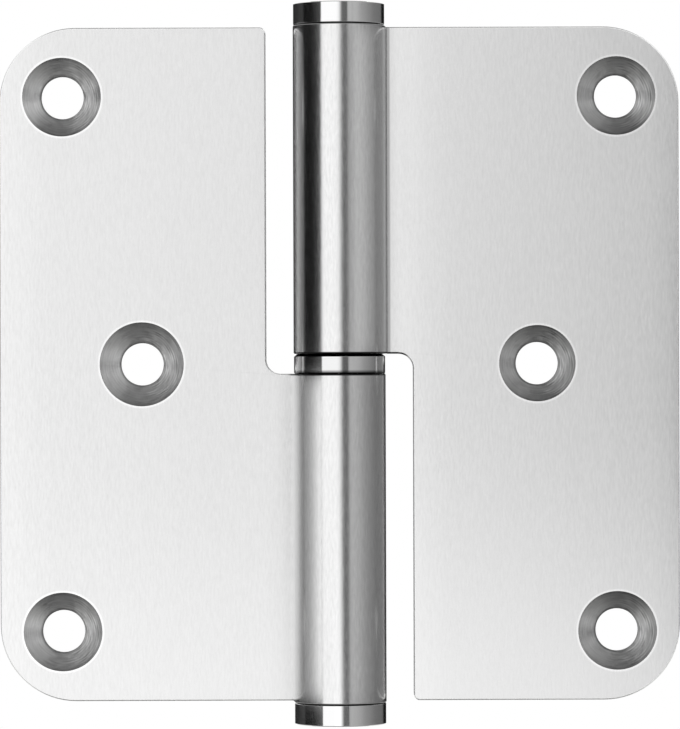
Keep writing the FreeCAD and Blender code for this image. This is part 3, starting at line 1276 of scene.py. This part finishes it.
@dataclass(frozen=True)
class NearCard(Card):
    """A card close to the barrel, which only the barrel's own rays see."""

    rows: tuple = ((-NEAR_TOP, 0), (NEAR_TOP, 0))
    distance: float = NEAR
    aim_give: float = BARREL_ONLY


@dataclass(frozen=True)
class Disc:
    """A level round card above or below the hinge.

    Attributes:
        name: What it is.
        height: Its height, in m.
        level: Its brightness.
        radius: Its radius, in m.
        sides: Points on its rim.
    """

    name: str
    height: float
    level: float
    radius: float = 0.2
    sides: int = 48

    def build(self) -> None:
        """Builds the disc as one round face."""
        points = round_rim(self.radius, self.height, self.sides)
        face = np.arange(self.sides)[None, :]
        glow_mesh(self.name, points, face, np.full(self.sides, self.level), 0.0, SEEN_BY_ALL)


def round_rim(radius: float, height: float, sides: int) -> np.ndarray:
    """Points on a level circle round the pin's axis.

    Args:
        radius: Its radius, in m.
        height: Its height, in m.
        sides: How many points.

    Returns:
        Points by 3.
    """
    turns = np.linspace(0, 2 * math.pi, sides + 1)[:-1]
    return np.stack([radius * np.cos(turns), radius * np.sin(turns), np.full(sides, height)], axis=1)


LEFT_SHADE = (
    (-121, 0.04), (-102, 0.045), (-92, 0.006), (-70, 0.007), (-57, 0.03), (-49.5, 0.055), (-43.2, 0.08),
)
RIGHT_GLOW = (
    (22, 0.44), (26, 0.53), (31, 0.51), (40, 0.48), (51, 0.42), (62, 0.33), (74, 0.28), (87, 0.225),
    (95, 0.19), (125, 0.16), (133, 0.1),
)
KEY = ((-46, 1.14), (-6, 1.14), (-3, 1.07), (0, 0.97), (2.4, 0.8), (4.5, 0.52), (6.8, 0.26), (9, 0.14))
RIGHT_FILL = (
    (22, 0.46), (26, 0.5), (34, 0.38), (44, 0.26), (60, 0.235), (85, 0.22), (125, 0.2), (155, 0.7),
    (180, 0.8),
)
LEFT_FILL = (
    (-180, 0.8), (-155, 0.7), (-125, 0.15), (-84, 0.13), (-77, 0.17), (-69, 0.26), (-64, 0.34),
    (-59, 0.42), (-54, 0.56), (-46, 0.5),
)
NEAR_REFLECTOR = (
    (-121, 0.3), (-91, 0.36), (-83, 0.4), (-77, 0.48), (-70, 0.57), (-65, 0.68), (-59, 0.8), (-54, 0.94),
    (-46, 1.14),
)
SIDE_REFLECTOR = (
    (22, 0.33), (26, 0.42), (31, 0.5), (36, 0.54), (43, 0.57), (51, 0.55), (60, 0.52), (68, 0.46),
    (77, 0.4), (91, 0.32), (121, 0.29),
)
ABOVE_SPLIT = ((-SPLIT, 0), (NEAR_TOP, 0))
ABOVE_RING = ((0.001, 0), (NEAR_TOP, 0))
ABOVE_NOTCH = ((0.002, 0), (NEAR_TOP, 0))
SPLIT_TO_PLUG = ((SPLIT, 0), (PLUG_END, 0))
PLUG_TO_SPLIT = ((-PLUG_END, 0), (-SPLIT, 0))
DARK_FOOT = ((-NEAR_TOP, 1), (-0.048, 1), (-0.047, 0), (SPLIT, 0))
ABOVE_MIDDLE = ((0, 0), (NEAR_TOP, 0))
BACK_FLAG = {"aim": 0.0086, "aim_give": 0.0034}


@dataclass
class Studio:
    """The white surroundings, the floor, the cards and the camera.

    Attributes:
        floor_fade: Distances from the middle between which the floor fades into the white, in m.
        soft_light: Brightness of the white world where it lights what is not metal.
        cards: What the metal reflects.
    """

    floor_z: float = -0.3
    floor_r: float = 1.6
    floor_sides: int = 96
    floor_fade: tuple = (0.25, 1.2)
    soft_light: float = 0.85
    camera_at: tuple = (0.00005, -0.620, -0.0001)
    camera_roll: float = 0.003
    lens: float = 232.8
    cards: tuple = (
        Card("key_softbox", KEY, foot_gain=((-16, 0), (-9, 0.12), (-3, 0.12), (0, 0.26), (9, 0.26))),
        Card("dark_gap", ((9, 0.13), (22, 0.13))),
        Card("right_fill", RIGHT_FILL),
        Card("left_fill", LEFT_FILL),
        NearCard("near_reflector", NEAR_REFLECTOR, PLUG_TO_SPLIT, aim_give=0.0108),
        NearCard("left_shade", LEFT_SHADE, ABOVE_SPLIT),
        NearCard("left_foot_shade", LEFT_SHADE, ((-NEAR_TOP, 0), (-PLUG_END, 0))),
        NearCard("notch_shade", ((-59, 0.02), (-40, 0.02)), ABOVE_MIDDLE, aim=0.0095, aim_give=0.0006),
        NearCard("seam_glow", ((14, 0.5), (36, 0.45)), ABOVE_RING, aim=0.0079, aim_give=0.0009),
        NearCard("upper_side_glow", ((50, 0.35), (90, 0.36)), ABOVE_NOTCH, aim=0.0107, aim_give=0.0029),
        NearCard("side_reflector", SIDE_REFLECTOR, SPLIT_TO_PLUG),
        NearCard("right_glow", RIGHT_GLOW, DARK_FOOT, foot_gain=((22, -0.14), (133, -0.14))),
        NearCard("right_top_glow", RIGHT_GLOW, ((PLUG_END, 0), (NEAR_TOP, 0))),
        NearCard("right_back_flag", ((133, 0.01), (167, 0.01)), **BACK_FLAG),
        NearCard("left_back_flag", ((-167, 0.02), (-121, 0.03)), **BACK_FLAG),
        Disc("low_shade", -0.29, 0.12),
        Disc("high_shade", 0.3, 0.2),
    )

    def build(self) -> None:
        """Builds the studio."""
        for card in self.cards:
            card.build()
        self.build_world()
        self.build_floor()
        self.build_camera()
        bpy.context.scene.view_settings.view_transform = "Standard"

    def white_rays(self, tree: bpy.types.NodeTree) -> bpy.types.NodeSocket:
        """1 for the camera's rays and those that metal and glass send on, and 0 for the rest.

        Args:
            tree: The node tree that it goes into.

        Returns:
            The socket that tells it.
        """
        ray = add_node(tree, "ShaderNodeLightPath")
        first = {0: ray.outputs["Is Camera Ray"], 1: ray.outputs["Is Glossy Ray"]}
        seen = add_node(tree, "ShaderNodeMath", first, operation="ADD")
        second = {0: seen.outputs[0], 1: ray.outputs["Is Transmission Ray"]}
        return add_node(tree, "ShaderNodeMath", second, operation="ADD", use_clamp=True).outputs[0]

    def build_world(self) -> None:
        """A white world for the camera and for reflections, and a soft grey light for the rest."""
        world = bpy.data.worlds.new("white_room")
        bpy.context.scene.world = world
        tree = empty_tree(world)
        levels = {"Value": self.white_rays(tree), "To Min": self.soft_light, "To Max": 1.0}
        strength = add_node(tree, "ShaderNodeMapRange", levels)
        sky = add_node(tree, "ShaderNodeBackground", {"Color": WHITE, "Strength": strength.outputs[0]})
        add_node(tree, "ShaderNodeOutputWorld", {"Surface": sky.outputs[0]})

    def build_floor(self) -> None:
        """A round pale floor, well below the hinge, whose rim fades into the white."""
        mesh = bpy.data.meshes.new("floor")
        rim = round_rim(self.floor_r, self.floor_z, self.floor_sides)
        mesh.from_pydata(rim.tolist(), [], [list(range(self.floor_sides))])
        paint = bpy.data.materials.new("pale_floor_paint")
        tree = empty_tree(paint)
        place = add_node(tree, "ShaderNodeTexCoord")
        level = {0: place.outputs["Object"], 1: (1.0, 1.0, 0.0)}
        ground = add_node(tree, "ShaderNodeVectorMath", level, operation="MULTIPLY")
        out = add_node(tree, "ShaderNodeVectorMath", {0: ground.outputs[0]}, operation="LENGTH")
        band = {"Value": out.outputs["Value"], "From Min": self.floor_fade[0], "From Max": self.floor_fade[1]}
        fade = add_node(tree, "ShaderNodeMapRange", band, interpolation_type="SMOOTHSTEP")
        both = {0: fade.outputs[0], 1: self.white_rays(tree)}
        blend = add_node(tree, "ShaderNodeMath", both, operation="MULTIPLY")
        matt = add_node(tree, "ShaderNodeBsdfDiffuse", {"Color": linear_colour("#F2F2F0")})
        glow = add_node(tree, "ShaderNodeEmission", {"Color": WHITE, "Strength": 1.0})
        shades = {0: blend.outputs[0], 1: matt.outputs[0], 2: glow.outputs[0]}
        mixed = add_node(tree, "ShaderNodeMixShader", shades)
        add_node(tree, "ShaderNodeOutputMaterial", {"Surface": mixed.outputs[0]})
        paint.cycles.emission_sampling = "NONE"
        mesh.materials.append(paint)
        add_object("floor", mesh)

    def build_camera(self) -> None:
        """The camera at the photograph's place, level with the hinge's middle."""
        lens = bpy.data.cameras.new("camera")
        lens.lens = self.lens
        lens.sensor_width = 36.0
        lens.clip_start = 0.01
        lens.clip_end = 20.0
        made = add_object("camera", lens)
        made.location = self.camera_at
        made.rotation_euler = (math.pi / 2, self.camera_roll, 0)
        bpy.context.scene.camera = made


def place(piece: bpy.types.Object, node: str, body: str, slot: str) -> None:
    """Puts a piece on its body in place of its solid.

    Args:
        piece: The dressed piece.
        node: The solid that it stands for.
        body: The body that carries it.
        slot: The record's finish for the piece; not used.
    """
    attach(piece, body)
    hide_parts(node)
    LOG.info("%s stands for %s on %s", piece.name, node, body)


# How far each leaf's face leans towards the pin, by the distance from it
FRAME_LEAN = ((6.2, 0.02), (8.5, -0.01), (18, -0.004), (38, 0), (41, -0.008), (44.7, -0.032))
DOOR_LEAN = (
    (6.2, 0), (7.2, 0.02), (8.6, 0.036), (11, 0.023), (14.5, 0.0145), (33, 0.017), (41, 0.017), (44.7, 0.01),
)


def main() -> None:
    """Builds the hinge, then the studio round it."""
    logging.basicConfig(level=logging.INFO, format="%(message)s")
    frame_leaf = Leaf(Side.FRAME, 11.1, FRAME_LEAN, 6.9, flare_painted_shade=0.22)
    door_leaf = Leaf(Side.DOOR, 10.1, DOOR_LEAN, 9.3, foot_lean=0.01, seam_painted_shadow=0.42, sink_tone=0.84)
    place(frame_leaf.build(), "frame_leaf", "frame_side", "leaf_steel")
    place(door_leaf.build(), "door_leaf", "door_side", "leaf_steel")
    place(HingePin().build(), "hinge_pin", "frame_side", "turned_steel")
    place(BearingRing().build(), "bearing_ring", "ring", "turned_steel")
    place(EndCap("top_cap_turned", False).build(), "top_cap", "door_side", "turned_steel")
    place(EndCap("bottom_cap_turned", True).build(), "bottom_cap", "frame_side", "turned_steel")
    Studio().build()


if __name__ == "__main__":
    main()
